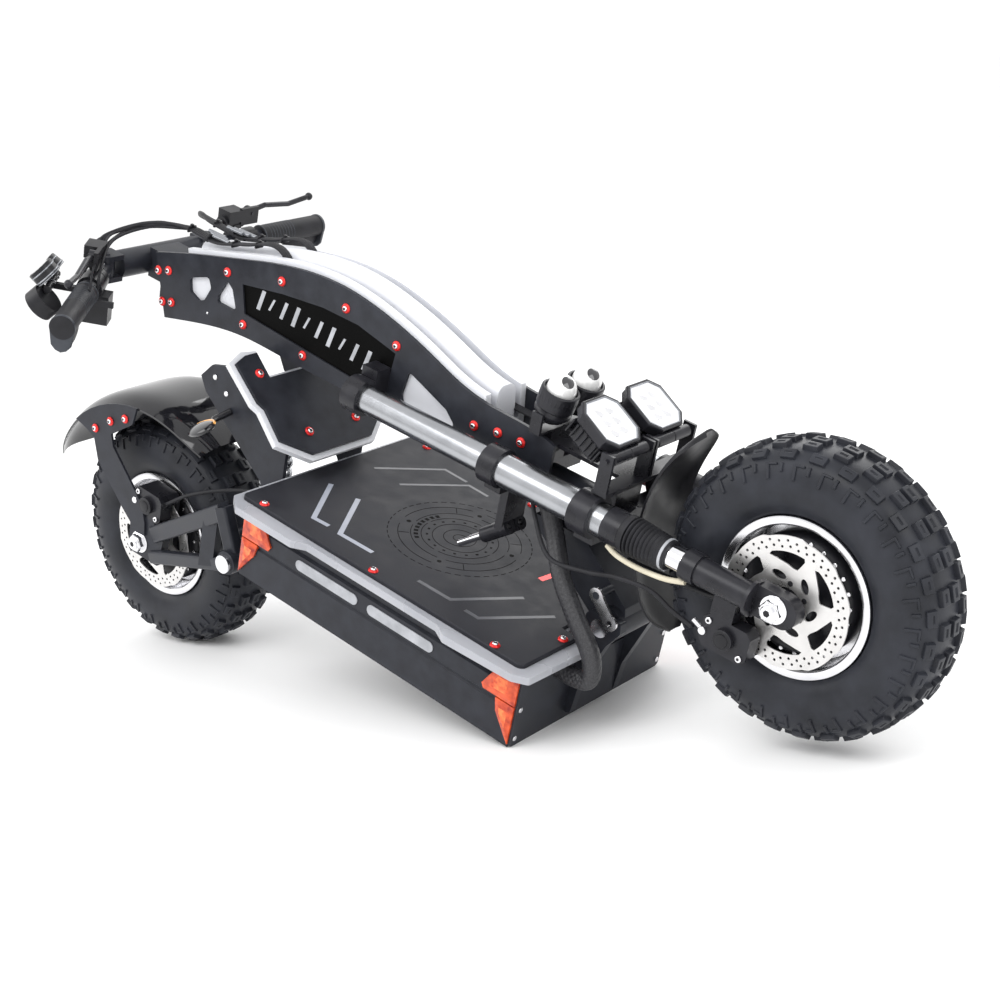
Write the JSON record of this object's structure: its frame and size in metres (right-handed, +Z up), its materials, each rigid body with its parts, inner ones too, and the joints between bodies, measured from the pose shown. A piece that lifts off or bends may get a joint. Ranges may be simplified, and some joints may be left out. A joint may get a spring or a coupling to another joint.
{
  "type": "electric kick scooter",
  "caption": "Folded off-road electric kick scooter with long deck, double-crown fork, plate neck laid back over the deck, swingarm, lamps and folding bars.",
  "frame": {"origin": "on the floor, midway between the wheel axles in X and midway between the bar ends in Y", "axes": "+X forwards, towards the front wheel; +Y to the rider's left; +Z up"},
  "size_m": [1.4622, 0.6222, 0.6542],
  "materials": {
    "black_frame": "fine textured black powder coat",
    "dark_alloy": "dark anodised satin",
    "silver_alloy": "satin silver",
    "bright_steel": "bright machined steel",
    "chrome_plate": "polished",
    "red_anodised": "red anodised",
    "frosted_acrylic": "frosted white",
    "black_plastic": "matte black",
    "gloss_black": "gloss black",
    "orange_lens": "translucent orange-red lens",
    "rubber_black": "matte rubber",
    "tyre_rubber": "matte tyre rubber",
    "braided_cable": "braided sleeve",
    "button_red": "glossy red",
    "battery_wrap": "blue shrink wrap",
    "spring_steel": "silver coated coil"
  },
  "bodies": {
    "deck": {"deck_shell": "black_frame", "deck_end_plates": "black_frame", "battery_pack": "battery_wrap", "motor_controllers": "silver_alloy", "light_panels": "frosted_acrylic", "deck_top_plate": "black_frame", "foot_plate": "black_frame", "deck_screws": "red_anodised", "deck_lamps": "orange_lens", "hinge_bracket": "black_frame", "pivot_pins": "bright_steel", "rear_brackets": "black_frame", "turn_signals": "gloss_black", "cable_loom": "braided_cable", "shock_body": "silver_alloy", "shock_spring": "spring_steel", "rear_hose": "rubber_black"},
    "kickstand": {"kickstand": "black_frame"},
    "head": {"steering_head": "black_frame"},
    "latch": {"latch_link": "bright_steel"},
    "front_frame": {"steering_stem": "bright_steel", "fork_clamps": "black_frame", "fork_tubes": "silver_alloy", "neck_plates": "black_frame", "neck_core": "frosted_acrylic", "neck_screws": "red_anodised", "bar_clamp": "dark_alloy", "lamp_brackets": "dark_alloy", "brake_hoses": "rubber_black"},
    "lock_pins": {"lock_pins": "chrome_plate"},
    "round_lamps": {"round_lamps": "dark_alloy"},
    "flood_right": {"flood_lamp_right": "dark_alloy"},
    "flood_left": {"flood_lamp_left": "dark_alloy"},
    "bar_right": {"handlebar_right": "dark_alloy", "grip_right": "rubber_black", "controls_right": "black_plastic"},
    "lever_right": {"brake_lever_right": "dark_alloy"},
    "throttle": {"throttle": "black_plastic"},
    "red_button": {"red_button": "button_red"},
    "bar_left": {"handlebar_left": "dark_alloy", "grip_left": "rubber_black", "controls_left": "black_plastic"},
    "lever_left": {"brake_lever_left": "dark_alloy"},
    "fork_lower": {"fork_legs": "dark_alloy", "fork_stanchions": "chrome_plate", "fork_bellows": "rubber_black", "front_mudguard": "gloss_black", "front_caliper": "dark_alloy", "front_axle": "bright_steel"},
    "front_wheel": {"front_tyre": "tyre_rubber", "front_hub_rim": "silver_alloy", "front_rotor": "bright_steel"},
    "swingarm": {"swingarm": "black_frame", "rear_fender": "gloss_black", "rear_caliper": "dark_alloy", "rear_axle": "bright_steel"},
    "rear_wheel": {"rear_tyre": "tyre_rubber", "rear_hub_rim": "silver_alloy", "rear_rotor": "bright_steel"},
    "shock_rod": {"shock_rod": "chrome_plate"}
  },
  "joints": [
    {"name": "fold", "type": "hinge", "parent": "deck", "child": "head", "pos_m": [0.28387, -0.01994, 0.13018], "axis": [0, 1, 0], "range_deg": [0, 75], "deforming": ["cable_loom"]},
    {"name": "latch", "type": "hinge", "parent": "head", "child": "latch", "pos_m": [0.28823, -0.07924, 0.17364], "axis": [0, 1, 0], "range_deg": [0, 60]},
    {"name": "steering", "type": "hinge", "parent": "head", "child": "front_frame", "pos_m": [0.22941, -0.01994, 0.27243], "axis": [-0.9369, 0, 0.3496], "range_deg": [-25, 25], "deforming": ["cable_loom"]},
    {"name": "lock_plungers", "type": "slide", "parent": "front_frame", "child": "lock_pins", "axis": [-0.9492, 0, -0.3146], "range_m": [0, 0.012], "stiffness_N_per_m": 500, "springref_m": -0.01},
    {"name": "round_lamp_tilt", "type": "hinge", "parent": "front_frame", "child": "round_lamps", "pos_m": [0.2216, -0.01994, 0.38733], "axis": [0, 1, 0], "range_deg": [-20, 20]},
    {"name": "flood_lamp_right_tilt", "type": "hinge", "parent": "front_frame", "child": "flood_right", "pos_m": [0.34472, -0.06394, 0.34865], "axis": [0, 1, 0], "range_deg": [-15, 30]},
    {"name": "flood_lamp_left_tilt", "type": "hinge", "parent": "front_frame", "child": "flood_left", "pos_m": [0.34472, 0.02406, 0.34865], "axis": [0, 1, 0], "range_deg": [-15, 30]},
    {"name": "bar_fold_right", "type": "hinge", "parent": "front_frame", "child": "bar_right", "pos_m": [-0.50979, -0.11494, 0.59176], "axis": [0.3692, 0, 0.9294], "range_deg": [-38, 44], "deforming": ["brake_hoses"]},
    {"name": "bar_fold_left", "type": "hinge", "parent": "front_frame", "child": "bar_left", "pos_m": [-0.50979, 0.07506, 0.59176], "axis": [-0.3692, 0, -0.9294], "range_deg": [0, 80], "deforming": ["brake_hoses"]},
    {"name": "brake_lever_right_pull", "type": "hinge", "parent": "bar_right", "child": "lever_right", "pos_m": [-0.44777, -0.17798, 0.61447], "axis": [0.7324, 0.6157, -0.2909], "range_deg": [0, 10], "stiffness_Nm_per_rad": 3, "springref_deg": -11.46},
    {"name": "throttle_turn", "type": "hinge", "parent": "bar_right", "child": "throttle", "pos_m": [-0.44971, -0.19768, 0.5679], "axis": [0.5722, -0.788, -0.2273], "range_deg": [0, 35], "stiffness_Nm_per_rad": 0.3, "springref_deg": -17.19},
    {"name": "red_button_press", "type": "slide", "parent": "bar_right", "child": "red_button", "axis": [0.3692, 0, 0.9294], "range_m": [0, 0.002], "stiffness_N_per_m": 300, "springref_m": -0.002},
    {"name": "brake_lever_left_pull", "type": "hinge", "parent": "bar_left", "child": "lever_left", "pos_m": [-0.49355, 0.15506, 0.63265], "axis": [-0.9294, 0, 0.3692], "range_deg": [0, 10], "stiffness_Nm_per_rad": 3, "springref_deg": -11.46},
    {"name": "fork_slide", "type": "slide", "parent": "front_frame", "child": "fork_lower", "axis": [0.9369, 0, -0.3496], "range_m": [-0.025, 0], "stiffness_N_per_m": 15000, "springref_m": 0.02, "deforming": ["fork_bellows", "brake_hoses"]},
    {"name": "front_wheel_spin", "type": "hinge", "parent": "fork_lower", "child": "front_wheel", "pos_m": [0.55187, -0.01994, 0.19266], "axis": [0, 1, 0], "continuous": true},
    {"name": "swingarm_swing", "type": "hinge", "parent": "deck", "child": "swingarm", "pos_m": [-0.2895, -0.01994, 0.18469], "axis": [0, 1, 0], "range_deg": [0, 12], "stiffness_Nm_per_rad": 900, "springref_deg": -5.73, "deforming": ["shock_spring", "rear_hose"]},
    {"name": "rear_wheel_spin", "type": "hinge", "parent": "swingarm", "child": "rear_wheel", "pos_m": [-0.55187, -0.01994, 0.177], "axis": [0, 1, 0], "continuous": true},
    {"name": "shock_slide", "type": "slide", "parent": "deck", "child": "shock_rod", "axis": [0.3038, 0, 0.9527], "range_m": [-0.0005, 0.013], "deforming": ["shock_spring"]},
    {"name": "kickstand_swing", "type": "hinge", "parent": "deck", "child": "kickstand", "pos_m": [-0.00159, 0.12606, 0.07248], "axis": [0, 1, 0], "range_deg": [-105, 0]}
  ],
  "couplings": [
    {"joint": "shock_slide", "follows": "swingarm_swing", "m_per_rad": 0.058979}
  ]
}
